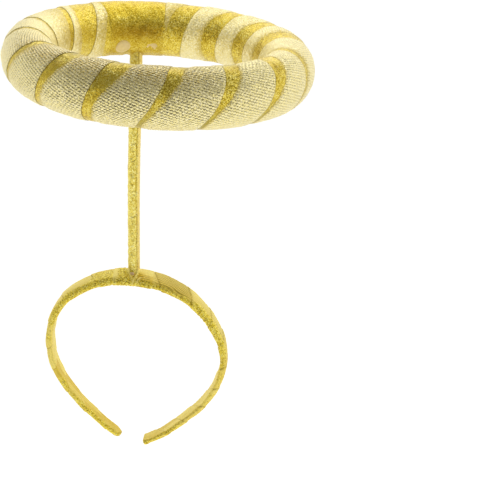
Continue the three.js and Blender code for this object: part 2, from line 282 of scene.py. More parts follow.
over_crown = np.flatnonzero(outline_points[:, 2] > -HEAD_RADIUS)
foot_distance = np.interp(STEM_OFFSET, outline_points[over_crown, 0], outline_lengths[over_crown])
foot = band_place(foot_distance)
stem_foot = foot["point"] + foot["outward"] * foot["thickness"]
stem_entry = stem_foot + np.array([STEM_LEAN_SIDE, STEM_LEAN_BACK, STEM_RISE])
stem_axis = unit(stem_entry - stem_foot)


# Halo: places on the tube


halo_low, halo_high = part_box("halo_ring")
halo_centre = np.array((halo_low + halo_high) / 2) / MM
lean, drop = math.radians(HALO_LEAN), math.radians(HALO_DROP)
halo_turn = np.array(Matrix.Rotation(drop, 3, "X") @ Matrix.Rotation(lean, 3, "Y"))


def halo_point(around, side, lift):
    """Points on the tube, by angle round the halo, side of the tube and lift off the core."""
    around, side = np.radians(around), np.radians(side)
    radius = HALO_RADIUS + (CORE_WIDTH / 2 + lift) * np.cos(side)
    height = (CORE_HEIGHT / 2 + lift) * np.sin(side)
    local = np.stack([radius * np.cos(around), radius * np.sin(around), height], -1)
    return local @ halo_turn.T + halo_centre


def ring_radius(side):
    return HALO_RADIUS + CORE_WIDTH / 2 * np.cos(np.radians(side))


TUBE_RADIUS = (CORE_WIDTH + CORE_HEIGHT) / 4


def side_arc(side):
    return np.radians(side) * TUBE_RADIUS


# Ribbon edges in degrees round the halo, by turns since the first row


edge_of_turn = curve_through([(turn, row[0]) for turn, row in enumerate(RIBBON_TURNS)])
bare_of_turn = curve_through([(turn, row[1]) for turn, row in enumerate(RIBBON_TURNS)])
lean_of_side = curve_through(RIBBON_SIDES, column=1, period=360)
bare_of_side = curve_through(RIBBON_SIDES, column=2, period=360)


def leading_edge(turn, side):
    """One turn at the front runs steeper down the outside than the others."""
    return edge_of_turn(turn) + lean_of_side(side) + 3.6 * hump(turn - 6.55, 0.15) + hump(turn - 5.6, 0.15)


def trailing_edge(turn, side):
    """The turns at the back lie closer over the top of the tube, and those at the front low down."""
    is_back = smooth_step(13.2, 14.2, turn) * smooth_step(16.3, 15.7, turn) + 1.3 * hump(turn - 3.1, 0.3)
    is_front = smooth_step(8.3, 8.6, turn) * smooth_step(11.9, 11.5, turn)
    side_now = np.mod(side, 360)
    close = 1 - 0.38 * is_back * hump(side_now - 78, 42) - 0.35 * is_front * hump(side_now - 312, 42)
    return leading_edge(turn - 1, side) + bare_of_turn(turn - 1) * bare_of_side(side) * close


# Materials


class Shader:
    """One material's nodes."""

    def __init__(self, name):
        self.material = bpy.data.materials.new(name)
        self.material.use_nodes = True
        self.tree = self.material.node_tree
        self.surface = self.tree.nodes["Principled BSDF"]

    def node(self, kind, **settings):
        made = self.tree.nodes.new(kind)
        for key, value in settings.items():
            setattr(made, key, value)
        return made

    def feed(self, socket, value):
        if isinstance(value, bpy.types.NodeSocket):
            self.tree.links.new(value, socket)
        else:
            socket.default_value = value

    def math(self, operation, *values):
        made = self.node("ShaderNodeMath", operation=operation)
        for socket, value in zip(made.inputs, values):
            self.feed(socket, value)
        return made.outputs[0]

    def vector(self, operation, *values):
        made = self.node("ShaderNodeVectorMath", operation=operation)
        for socket, value in zip(made.inputs, values):
            self.feed(socket, value)
        return made.outputs[0]

    def scaled(self, vector, factor):
        made = self.node("ShaderNodeVectorMath", operation="SCALE")
        self.feed(made.inputs[0], vector)
        self.feed(made.inputs["Scale"], factor)
        return made.outputs[0]

    def mix(self, factor, low, high):
        made = self.node("ShaderNodeMix", data_type="RGBA")
        self.feed(made.inputs["Factor"], factor)
        self.feed(made.inputs[6], low)
        self.feed(made.inputs[7], high)
        return made.outputs[2]

    def ramp(self, value, stops):
        made = self.node("ShaderNodeValToRGB")
        self.feed(made.inputs[0], value)
        elements = made.color_ramp.elements
        while len(elements) < len(stops):
            elements.new(0.5)
        for element, (position, colour) in zip(elements, stops):
            element.position = position
            element.color = colour
        return made.outputs[0]

    def spread(self, value, low, high, out_low=0, out_high=1):
        """The value's share of the way from low to high, smooth and held at both ends."""
        made = self.node("ShaderNodeMapRange", interpolation_type="SMOOTHSTEP")
        for socket, given in zip(made.inputs, (value, low, high, out_low, out_high)):
            self.feed(socket, given)
        return made.outputs[0]

    def place(self):
        """The point on the piece, in millimetres."""
        return self.scaled(self.node("ShaderNodeTexCoord").outputs["Object"], 1 / MM)

    def noise(self, vector, size, detail=2):
        made = self.node("ShaderNodeTexNoise")
        self.feed(made.inputs["Vector"], vector)
        made.inputs["Scale"].default_value = 1 / size
        made.inputs["Detail"].default_value = detail
        return made.outputs["Fac"]

    def cells(self, vector, size):
        made = self.node("ShaderNodeTexVoronoi")
        self.feed(made.inputs["Vector"], vector)
        made.inputs["Scale"].default_value = 1 / size
        return made

    def chance_of(self, cells):
        """A random value for each cell."""
        split = self.node("ShaderNodeSeparateColor")
        self.feed(split.inputs[0], cells.outputs["Color"])
        return split.outputs[0]

    def layer(self, name):
        """The two values of a UV map."""
        split = self.node("ShaderNodeSeparateXYZ")
        self.feed(split.inputs[0], self.node("ShaderNodeUVMap", uv_map=name).outputs[0])
        return split.outputs[0], split.outputs[1]

    def wave(self, value, length):
        """A wave from 0 to 1 with its peaks a length apart."""
        turned = self.math("MULTIPLY", value, 2 * math.pi / length)
        return self.math("MULTIPLY_ADD", self.math("COSINE", turned), 0.5, 0.5)

    def bumped(self, height, depth, normal=None):
        made = self.node("ShaderNodeBump")
        made.inputs["Strength"].default_value = 1
        made.inputs["Distance"].default_value = depth * MM
        self.feed(made.inputs["Height"], height)
        if normal is not None:
            self.feed(made.inputs["Normal"], normal)
        return made.outputs[0]

    def flakes(self, cells, tilt):
        """Normals that lean a random way in each cell, as glitter flakes do."""
        lean = self.scaled(self.vector("SUBTRACT", cells.outputs["Color"], (0.5, 0.5, 0.5)), tilt)
        normal = self.node("ShaderNodeNewGeometry").outputs["Normal"]
        return self.vector("NORMALIZE", self.vector("ADD", lean, normal))

    def finish(self, colour, metal, rough, normal=None, sheen=0, sheen_tint=None):
        self.feed(self.surface.inputs["Base Color"], colour)
        self.feed(self.surface.inputs["Roughness"], rough)
        self.feed(self.surface.inputs["Metallic"], metal)
        if sheen:
            self.surface.inputs["Sheen Weight"].default_value = sheen
            self.surface.inputs["Sheen Roughness"].default_value = 0.35
            self.surface.inputs["Sheen Tint"].default_value = sheen_tint
        if normal is not None:
            self.feed(self.surface.inputs["Normal"], normal)
        return self.material


def tone(red, green, blue):
    """A colour from screen values of 0 to 255."""
    linear = []
    for value in (red, green, blue):
        share = value / 255
        linear.append(share / 12.92 if share <= 0.04045 else ((share + 0.055) / 1.055) ** 2.4)
    return (*linear, 1)


HALO_SHADES = [
    (0, tone(154, 122, 24)), (0.35, tone(204, 174, 52)), (0.7, tone(236, 213, 86)), (1, tone(252, 242, 158)),
]
WRAP_SHADES = [
    (0, tone(154, 120, 16)), (0.35, tone(206, 174, 44)), (0.7, tone(236, 212, 76)), (1, tone(252, 242, 146)),
]
ROD_SHADES = [
    (0, tone(188, 154, 46)), (0.35, tone(228, 206, 90)), (0.7, tone(246, 231, 124)), (1, tone(255, 250, 186)),
]


def glitter_cloth(name, shades, flake=0.48, tilt=0.6, shade_colour=None):
    """Gold cloth covered in fine flakes, some dark and some bright. It takes a painted shade colour, where
    one is given, as far as its painted shade map says."""
    shader = Shader(name)
    place = shader.place()
    fine = shader.cells(place, flake)
    coarse = shader.noise(place, 9, detail=3)
    brightness = shader.math("MULTIPLY_ADD", shader.chance_of(fine), 0.75, -0.13)
    mixed = shader.math("MULTIPLY_ADD", coarse, 0.5, brightness)
    colour = shader.ramp(mixed, shades)
    if shade_colour:
        painted_shade, _ = shader.layer("painted_shade")
        colour = shader.mix(painted_shade, colour, shade_colour)
    normal = shader.flakes(fine, tilt)
    return shader.finish(colour, 1, 0.38, normal, 0.25, tone(255, 240, 176))


BAND_FLAKES = [
    (0, tone(150, 118, 10)), (0.3, tone(222, 193, 42)), (0.6, tone(252, 229, 68)), (1, tone(255, 248, 150)),
]


def woven_ribbon(
    name, thread, dark, edge, gleam=None, row_pitch=1.55, dot_pitch=2.1, darkness=1.0, relief=0.8,
    sheen=0.38, hem=0.5, rough=0.32, metal=0.9, is_strewn=False, is_stretched_and_shaded=False,
):
    """Ribbon of metal thread: rows of short sunk dashes across it, and a darker leading edge, partly a
    selvedge and partly painted shadow. Strewn ribbon has flakes of glitter too, as thick as its map says.
    Stretched ribbon's weave is as open as its map says, partly real stretch and partly painted shade, and as
    brown as its map says, which is painted shade."""
    shader = Shader(name)
    gleam = gleam or tuple(value / max(thread[:3]) for value in thread[:3]) + (1,)
    along, across = shader.layer("weave")
    from_trail, from_lead = shader.layer("edges")
    place = shader.place()
    sway = shader.noise(place, 4)
    along = shader.math("MULTIPLY_ADD", sway, 0.6, along)
    row = shader.wave(along, row_pitch)
    shift = shader.math("FLOOR", shader.math("DIVIDE", along, row_pitch))
    staggered = shader.math("MULTIPLY_ADD", shift, dot_pitch * 0.37, across)
    staggered = shader.math("MULTIPLY_ADD", shader.noise(place, 2), 1.6, staggered)
    dots = shader.wave(staggered, dot_pitch)
    dots = shader.math("MULTIPLY_ADD", dots, 0.9, 0.1)
    gaps = shader.math("MULTIPLY", shader.math("POWER", row, 1.2), dots)
    uneven = shader.spread(shader.noise(place, 1.1, detail=1), 0.35, 0.6, 0.3, 1)
    gaps = shader.math("MULTIPLY", gaps, uneven)
    if is_stretched_and_shaded:
        # The opening map: how open the weave is, partly real stretch and partly painted shade at the front
        # and upper front; its second value is painted brown shade.
        opening, painted_brown_shade = shader.layer("opening")
        gaps = shader.math("MINIMUM", shader.math("MULTIPLY", gaps, opening), 1)
        thread = shader.mix(shader.spread(opening, 0.2, 0.7), tone(243, 225, 146), thread)
        # Painted shade: the thread browns over the tube's upper front, as far as the opening map's second
        # value says.
        thread = shader.mix(painted_brown_shade, thread, tone(206, 176, 84))
        metal = shader.spread(opening, 0.15, 0.6, 0.6, metal)
    patchy = shader.math("MULTIPLY_ADD", shader.noise(place, 14), 0.6, 0.7)
    amount = shader.math("MULTIPLY", shader.math("MULTIPLY", gaps, patchy), darkness)
    # Painted glints: random flecks of the thread take the brighter gleam colour.
    fleck = shader.noise(place, 0.8, detail=1)
    bright = shader.mix(shader.spread(fleck, 0.42, 0.62), thread, gleam)
    colour = shader.mix(amount, bright, dark)
    # The darker leading edge: partly a selvedge and partly painted shadow along the raised edge, on the
    # headband at each seam.
    line = shader.spread(from_lead, hem * 0.3, hem, 1, 0)
    colour = shader.mix(shader.math("MULTIPLY", line, 0.7), colour, edge)
    speck = shader.cells(place, 0.55 if is_strewn else 0.6)
    ragged = shader.math("ADD", from_trail, shader.math("MULTIPLY_ADD", shader.noise(place, 1.6), 5, -2.5))
    strewn = shader.spread(ragged, 0, 2.4, 1, 0)
    colour = shader.mix(shader.math("MULTIPLY", strewn, 0.75), colour, tone(208, 182, 72))
    tilt = 0.62
    if is_strewn:
        thick, depth = shader.layer("flakes")
        # The flakes map's second value deepens the gold: the headband windings' own tone, and painted shade
        # on the crown's front face and beside the stem's foot.
        colour = shader.mix(shader.math("MULTIPLY", depth, 0.7), colour, tone(222, 190, 58))
        crest, ribbed = shader.layer("ribs")
        ribs = shader.math("MULTIPLY", shader.math("POWER", shader.wave(crest, 1), 1.6), ribbed)
        colour = shader.mix(shader.math("MULTIPLY", ribs, 0.65), colour, tone(150, 126, 30))
        patches = shader.math("MULTIPLY_ADD", shader.noise(place, 5), 1.2, -0.6)
        thick = shader.spread(shader.math("ADD", thick, patches), 0.25, 0.75)
        flake_colour = shader.ramp(shader.chance_of(speck), BAND_FLAKES)
        colour = shader.mix(shader.math("MULTIPLY", thick, 0.85), colour, flake_colour)
        tilt = shader.math("MULTIPLY_ADD", thick, 0.55, 0.2)
    normal = shader.bumped(shader.math("SUBTRACT", 1, gaps), relief, shader.flakes(speck, tilt))
    return shader.finish(colour, metal, rough, normal, sheen, tone(255, 238, 158))


def glue_material(name, low, high):
    shader = Shader(name)
    place = shader.place()
    colour = shader.mix(shader.noise(place, 3), low, high)
    normal = shader.bumped(shader.noise(place, 1.5), 0.15)
    made = shader.finish(colour, 0, 0.35, normal)
    shader.surface.inputs["Subsurface Weight"].default_value = 0.3
    shader.surface.inputs["Subsurface Radius"].default_value = (0.003, 0.002, 0.001)
    return made


cloth = glitter_cloth("glitter_cloth", HALO_SHADES, shade_colour=tone(150, 138, 70))
wrap_glitter = glitter_cloth("wrap_glitter", WRAP_SHADES, flake=0.42, tilt=0.5, shade_colour=tone(140, 98, 14))
pale = woven_ribbon(
    "pale_ribbon", tone(247, 231, 155), tone(56, 34, 8), tone(132, 116, 44), gleam=tone(255, 243, 190),
    is_stretched_and_shaded=True,
)
gold = woven_ribbon(
    "band_ribbon", tone(250, 232, 130), tone(136, 114, 32), tone(132, 110, 28),
    row_pitch=1.1, dot_pitch=2.6, darkness=0.4, relief=0.22, sheen=0, hem=1.1, rough=0.52, metal=0.88,
    is_strewn=True,
)
smooth_gold = woven_ribbon(
    "stem_smooth", tone(234, 210, 118), tone(170, 140, 60), tone(128, 106, 26),
    row_pitch=1.0, dot_pitch=1.3, darkness=0.3, relief=0.1, sheen=0.1, rough=0.4,
)
rod_glitter = glitter_cloth("stem_glitter", ROD_SHADES, flake=0.6, tilt=0.45, shade_colour=tone(160, 134, 48))
glue = glue_material("hot_glue", tone(221, 193, 117), tone(235, 211, 144))
glue_at_foot = glue_material("foot_glue", tone(206, 172, 124), tone(222, 194, 150))


# Pieces


CLOTH_LIFT = 0.75


def cloth_lift(base):
    """How far the ring's own cloth stands off the core."""
    return CLOTH_LIFT + 0.12 * wave_field(base, 7, seed=1) + 0.2 * wave_field(base, 34, seed=3)


def make_core():
    """The padded ring in glitter cloth, which shows in the bare strips between the turns."""
    around, side = np.meshgrid(np.linspace(0, 360, 541), np.linspace(0, 360, 121), indexing="ij")
    base = halo_point(around, side, 0)
    points = halo_point(around, side, cloth_lift(base))[:-1, :-1]
    # Painted shade: at the front the cloth darkens low on the outside and over the top.
    painted_shade = 0.6 * smooth_step(244, 262, around) * smooth_step(330, 305, around) * hump(side - 318, 38)
    is_front = smooth_step(215, 235, around) * smooth_step(330, 310, around)
    painted_shade = painted_shade + 0.5 * is_front * hump(side - 100, 22)
    return grid_object("halo_core", points, [cloth], ring_rows=True, layers={"painted_shade": single(painted_shade)})


def ribbon_rows():
    """Side, trailing and leading angle of each row along the ribbon, with its turns."""
    steps_a_turn = 108
    last_turn = len(RIBBON_TURNS) - 1
    turn = np.arange(1, last_turn * steps_a_turn + 1) / steps_a_turn
    side = RIBBON_TOP_SIDE + 360 * turn
    gap = math.degrees(0.3 / (HALO_RADIUS - CORE_WIDTH / 2))
    lowest, highest = WRAP_END + gap, WRAP_START + 360 - gap
    trailing = trailing_edge(turn, side)
    begin = np.maximum(trailing, lowest)
    leading = np.minimum(leading_edge(turn, side), highest)
    has_ended = np.maximum.accumulate(begin > highest - RIBBON_LEAST_WIDTH)
    kept = (leading > lowest + RIBBON_LEAST_WIDTH) & ~has_ended
    end = np.maximum(leading, begin + RIBBON_LEAST_WIDTH)
    soft = smooth_step(0, 1.5, trailing - lowest)
    return turn[kept], side[kept], begin[kept], end[kept], soft[kept]


# How open the ribbon's weave is, partly its real stretch and partly painted shade at the front and upper
# front: by angle round the halo from the back, and by side from the underside
WEAVE_ROUND = [
    (0, 0.6), (80, 0.45), (110, 0.7), (140, 0.95), (170, 1.3), (190, 1.3), (202, 1.05), (216, 0.85),
    (235, 0.65), (260, 0.4), (300, 0.5), (360, 0.6),
]
WEAVE_SIDES = [
    (0, 0.2), (30, 0.36), (50, 0.55), (75, 0.84), (95, 0.84), (107, 0.84), (132, 1), (150, 1.2), (168, 1.15),
    (182, 0.95), (200, 0.5), (240, 0.2), (300, 0.2), (360, 0.2),
]


def make_ribbon():
    """The pale ribbon as one closed strip: thin where it trails, with a hem along its leading edge."""
    turn, side, begin, end, soft = ribbon_rows()
    top = [0, 0.015, 0.04, 0.08, 0.15, 0.25, 0.37, 0.5, 0.63, 0.75, 0.84, 0.9, 0.94, 0.965, 0.985, 1]
    under = [1, 0.9, 0.6, 0.3, 0.05]
    share = np.concatenate([top, under])
    is_top = np.arange(len(share)) < len(top)
    around = begin[:, None] + (end - begin)[:, None] * share
    sides = np.repeat(side[:, None], len(share), 1)
    arc = np.radians(1) * ring_radius(sides)
    from_trail = (around - begin[:, None]) * arc
    from_lead = (end[:, None] - around) * arc
    base = halo_point(around, sides, 0)
    thin = soft[:, None] * (1 - smooth_step(0, 5, from_trail))
    wall = 0.5 - 0.44 * thin - 0.3 * (1 - smooth_step(0, 1.6, from_lead))
    lift = cloth_lift(base) + np.where(is_top, wall, -0.05)
    ragged = 0.28 * wave_field(base, 2.6, seed=5) * hump(from_trail, 0.8)
    around = around + ragged * soft[:, None]
    points = halo_point(around, sides, lift)
    helix = math.radians(RIBBON_HELIX)
    steps = np.hypot(np.diff(side_arc(side)), np.diff(end) * arc[1:, 0])
    along = np.concatenate([[0], np.cumsum(steps)])
    weave = np.stack([along[:, None] - from_lead * math.sin(helix), from_lead * math.cos(helix)], -1)
    turns = np.arange(len(RIBBON_TURNS))
    widths = np.array([SHEER_TURNS.get(k, SHEER_WIDTH) for k in turns], float)
    sheer = SHEER_WIDTH / np.interp(turn, turns, widths)[:, None]
    plain = np.interp(turn, [1.6, 2], [1.2, 9])[:, None]
    trail = from_trail * sheer + plain * (1 - soft[:, None])
    edges = np.stack([trail, np.minimum(from_lead, from_trail + 9 * soft[:, None])], -1)
    from_back, from_under = np.mod(around - 90, 360), np.mod(sides + 90, 360)
    opening = np.interp(from_back, *zip(*WEAVE_ROUND)) * np.interp(from_under, *zip(*WEAVE_SIDES))
    # Painted shade: a brown tone over the upper front of the tube.
    painted_brown_shade = 0.75 * smooth_step(95, 130, from_back) * smooth_step(212, 190, from_back)
    painted_brown_shade = painted_brown_shade * smooth_step(115, 150, from_under) * smooth_step(215, 185, from_under)
    opening = np.stack([opening, painted_brown_shade], -1)
    layers = closed_round({"weave": weave, "edges": edges, "opening": opening})
    return grid_object("halo_ribbon_wound", points, [pale], caps=True, layers=layers)


# A pinch in the wrap's edge: angle round the halo and side of the tube
NOTCH = (92.9, 174)


def make_back_wrap():
    """The wide wrap of glitter cloth where the stem goes in, as a closed sleeve wall."""
    across, girth = np.linspace(WRAP_START, WRAP_END, 91), np.linspace(0, 360, 141)[:-1]
    around, side = np.meshgrid(across, girth, indexing="ij")
    base = halo_point(around, side, 0)
    edge = np.minimum(around - WRAP_START, WRAP_END - around)
    height = cloth_lift(base) + 0.35 + 0.1 * wave_field(base, 9, seed=8)
    height += 0.06 * wave_field(base, 3.5, seed=9)
    height -= 0.25 * hump(edge, 0.5)
    height -= 0.9 * hump(around - NOTCH[0], 0.4) * hump(side - NOTCH[1], 9)
    near_stem = hump(around - STEM_AROUND, 7) * hump(side - (UNDER_SIDE - STEM_INWARD), 26)
    height += 0.5 * near_stem * np.sin(np.radians((around - STEM_AROUND) * 55 + side * 3))
    outer = halo_point(around, side, height)
    inner = halo_point(around, side, cloth_lift(base) - 0.05)
    points = np.concatenate([inner[::-1], outer])
    # Painted shade: a dark band across the wrap's inner side near the stem and the inner side darker overall;
    # painted shadow in the notch.
    painted_shade = 0.4 * hump(side - 175, 16) * hump(around - 106, 15)
    painted_shade = painted_shade + 0.26 * smooth_step(135, 180, side) * (side < 260)
    painted_shade = np.maximum(painted_shade, 0.95 * hump(around - NOTCH[0] - 0.3, 0.45) * hump(side - NOTCH[1], 9))
    layers = sleeve_layers({"painted_shade": single(painted_shade)})
    return grid_object("back_wrap_cloth", points, [wrap_glitter], ring_rows=True, layers=layers)


def stem_frame():
    """Two directions across the stem: to the wearer's side and to the front."""
    front = np.array([0, -1, 0]) - stem_axis * (np.array([0, -1, 0]) @ stem_axis)
    front = unit(front)
    return np.cross(stem_axis, front), front


STEM_SEAM = 37
STEM_SMOOTH_END = 120
STEM_CREASES = [(33, -25), (47, 30), (88, 5), (113, -18), (137, 20)]


def make_stem():
    """The rod in its lengthwise ribbon: a smooth flap on the right, crinkled glitter elsewhere."""
    rise = np.linspace(2, STEM_RISE + 9, 420)
    turn = np.linspace(-180, 180, 73)[:-1]
    rises, turns = np.meshgrid(rise, turn, indexing="ij")
    right, front = stem_frame()
    out = front * np.cos(np.radians(turns))[..., None] + right * np.sin(np.radians(turns))[..., None]
    bow = 1.1 * smooth_step(80, STEM_RISE, rises) - 0.3 * hump(rises - 55, 35)
    axis = stem_foot + stem_axis * rises[..., None] + right * bow[..., None]
    base = axis + out * STEM_DIAMETER / 2
    seam = STEM_SEAM + 4 * np.sin(rises / 17) + 2.5 * np.sin(rises / 6.3 + 1)
    past = turns - seam
    flap = smooth_step(-2, 2, past) * (1 - smooth_step(STEM_SMOOTH_END - 25, STEM_SMOOTH_END, past))
    radius = STEM_DIAMETER / 2 - 0.05
    radius = radius + 0.16 * wave_field(base, 5, seed=11) * (1 - 0.7 * flap)
    radius = radius + 0.1 * wave_field(base, 2.2, seed=12) * (1 - flap)
    radius = radius + 0.32 * flap - 0.3 * hump(past + 3, 5) + 0.15 * hump(past - 6, 5)
    for height, side in STEM_CREASES:
        slant = (rises - height) - (turns - side) * 0.05
        radius = radius - 0.45 * hump(slant, 0.7) * hump(turns - side, 22)
    points = axis + out * radius[..., None]
    first = np.searchsorted(turn, STEM_SEAM)
    last = np.searchsorted(turn, STEM_SEAM + STEM_SMOOTH_END - 12)

    def pick(i, j):
        return ((j >= first) & (j < last)).astype(int)

    weave = np.stack([rises, turns * 0.07], -1)
    edges = np.stack([20 + 0 * turns, 20 + 0 * turns], -1)
    # Painted shade: the top of the stem darkens in the ring's shadow, and a strip darkens along the groove at
    # the flap's edge.
    painted_shade = 0.5 * smooth_step(146, 156, rises) + 0.28 * hump(past + 4, 6)
    layers = closed_round({"weave": weave, "edges": edges, "painted_shade": single(painted_shade)})
    materials = [rod_glitter, smooth_gold]
    return grid_object("stem_wrapped", points, materials, caps=True, layers=layers, pick=pick)


def rounded_section(half, thickness, columns):
    """A rounded bar's section as across, out and its outward direction, evenly spaced round it.
    It starts at the middle of the inner face and goes round by the back."""
    top, low = thickness * 0.6, thickness * 0.4
    bow = 0.5
    turn = np.radians(np.linspace(0, 90, 9))
    parts = [np.array([[0, 0]])]
    parts.append(np.stack([half - low + low * np.sin(turn), low - low * np.cos(turn)], 1))
    parts.append(np.stack([half - top + top * np.cos(turn), thickness - top + top * np.sin(turn)], 1))
    right = np.concatenate(parts)
    line = np.concatenate([right, [[0, thickness]], right[::-1] * [-1, 1]])
    steps = np.concatenate([[0], np.cumsum(np.linalg.norm(np.diff(line, axis=0), axis=1))])
    spots = np.linspace(0, steps[-1], columns + 1)
    across = np.interp(spots, steps, line[:, 0])
    out = np.interp(spots, steps, line[:, 1])
    arch = bow * (1 - (across / half) ** 2) * smooth_step(thickness * 0.5, thickness, out)
    out = out + arch
    ahead = np.stack([np.gradient(across), np.gradient(out)], 1)
    ahead[0] = ahead[-1] = (1, 0)
    facing = unit(np.stack([ahead[:, 1], -ahead[:, 0]], 1))
    return across, out, facing, spots


BAND_COLUMNS = 72


def band_surface(distances, grow=0.0, columns=BAND_COLUMNS):
    """Points, outward directions and section values along a stretch of the band."""
    place = band_place(distances)
    points, facings, across, girth = [], [], [], []
    for k in range(len(distances)):
        half = place["width"][k] / 2 + grow
        a, out, facing, spots = rounded_section(max(half, 0.8), place["thickness"][k] + 2 * grow, columns)
        out = out - grow
        outward, twist = place["outward"][k], place["twist"][k]
        lift = out + a * math.sin(twist)
        points.append(place["point"][k] + outward * lift[:, None] + np.outer(a * math.cos(twist), [0, 1, 0]))
        facings.append(outward * facing[:, 1:] + np.outer(facing[:, 0], [0, 1, 0]))
        across.append(a / half)
        girth.append(spots)
    return np.array(points), unit(np.array(facings)), np.array(across), np.array(girth)


# Gathered spots along the headband's rims: place, half length and depth
BAND_PUCKERS = [(104, 4, 0.12), (172, 4, 0.25), (243, 5, 0.28), (281, 6, 0.16), (330, 8, 0.12)]


# How thick the glitter lies on the band's front rim, from distance along it
BAND_GLITTER = [
    (0, 0.75), (45, 0.75), (54, 0.4), (63, 0.75), (70, 0.05), (95, 0.05), (108, 0.4), (118, 0.5),
    (135, 0.7), (160, 0.85), (225, 0.6), (235, 0.95), (262, 0.85), (278, 0.4), (300, 0.3), (340, 0.35),
    (353, 0.8), (366, 0.5), (377, 0.6),
]
# How deep the gold of each winding is, from the left tip
BAND_DEPTHS = [
    0.7, 0.9, 0.5, 0.9, 0.1, 0.05, 0.5, 0.3, 0.6, 0.5, 0.9, 0.35, 0.1, 0.6, 0.5, 0.2, 0.4, 0.2, 0.7, 0.5, 0.6,
]
# How ribbed the band's ribbon is, from distance along it
BAND_RIBS = [
    (0, 0.05), (90, 0.3), (130, 0.1), (150, 0.1), (194, 0.2), (201, 0.9), (210, 1.2), (223, 1.3), (228, 0.3),
    (250, 0.5), (262, 0.8), (285, 0.3), (300, 0.1), (377, 0.05),
]
RIB_PITCH = 2.3
# Where round the section the glitter starts: 0.3 is the back edge and 0.7 the front one
BAND_REACH = [
    (0, 0.58), (124, 0.58), (152, 0.62), (158, 0.34), (168, 0.36), (174, 0.5), (196, 0.68), (226, 0.68),
    (234, 0.6), (262, 0.56), (377, 0.56),
]


def make_headband():
    """The band wound with gold ribbon: each turn's edge steps over the last, and it puckers at the rims."""
    tips = np.array([0.03, 0.15, 0.35, 0.6, 0.85])
    left = tips * BAND_TIP_ROUNDS["left"]
    right = band_length - tips[::-1] * BAND_TIP_ROUNDS["right"]
    distances = np.concatenate([left, np.linspace(left[-1] + 0.5, right[0] - 0.2, 700), right])
    points, facings, across, girth = band_surface(distances)
    total = girth[:, -1:]
    round_it = girth / total
    seams = np.array(BAND_SEAMS, float)
    count = np.interp(distances, seams, np.arange(len(seams)))[:, None]
    phase = count + 0.5 - np.interp(round_it, [0, 0.25, 0.75, 1], [0, 0.36, 0.64, 1])
    share = phase - np.floor(phase)
    pitch = np.interp(distances, (seams[1:] + seams[:-1]) / 2, np.diff(seams))[:, None]
    from_seam = share * pitch
    to_seam = (1 - share) * pitch
    height = 0.42 * (1 - smooth_step(0, 1, share)) - 0.12
    height = height - 0.25 * hump(to_seam, 0.5)
    rim = hump(np.abs(across) - 0.93, 0.2)
    pucker = np.sin(distances[:, None] * 1.9 + 2.5 * np.sin(distances[:, None] / 7.3))
    strength = 0.03 + sum(depth * hump(distances[:, None] - spot, wide) for spot, wide, depth in BAND_PUCKERS)
    height = height + rim * strength * pucker + 0.12 * wave_field(points, 11, seed=21)
    height = height + 0.06 * wave_field(points, 3, seed=22)
    ribbed = np.interp(distances, *zip(*BAND_RIBS))[:, None]
    crest = girth + 0.9 * np.sin(distances[:, None] / 5.1)
    crest = crest + 0.6 * np.sin(distances[:, None] / 2.3 + girth / 3)
    height = height - 0.12 * ribbed * np.cos(crest * 2 * math.pi / RIB_PITCH)
    points = points + facings * height[..., None]
    weave = np.stack([girth, distances[:, None] + 0 * girth], -1)
    edges = np.stack([from_seam + 2, to_seam], -1)
    reach = np.interp(distances, *zip(*BAND_REACH))[:, None]
    front = smooth_step(reach - 0.04, reach + 0.09, round_it)
    strewn = np.interp(distances, *zip(*BAND_GLITTER))[:, None]
    depths = np.array(BAND_DEPTHS)[np.clip(np.floor(phase).astype(int), 0, len(BAND_DEPTHS) - 1)]
    under = smooth_step(0.3, 0.1, round_it) + smooth_step(0.75, 0.95, round_it)
    is_limb = smooth_step(110, 70, distances[:, None]) + smooth_step(270, 300, distances[:, None])
    # The windings' depths are the ribbon's own tone, stronger on the limbs; the deeper gold over the front of
    # the crown's outer face is painted shade.
    depths = (0.55 + 0.6 * is_limb) * depths + 0.32 * (1 - is_limb) * smooth_step(0.42, 0.62, round_it)
    flakes = np.stack([0.1 + strewn * front * (1 - 0.8 * under), depths], -1)
    ribs = np.stack([crest / RIB_PITCH, ribbed + 0 * crest], -1)
    layers = {"weave": weave, "edges": edges, "flakes": flakes, "ribs": ribs}
    return grid_object("headband_wound", points[:, :-1], [gold], caps=True, layers=layers)


FOOT_LENGTH = 27
FOOT_FOLDS = [((-4.2, 1), (0.2, 12)), ((4.4, 0.5), (-0.2, 12)), ((3.2, 10.5), (5.5, 7.5))]


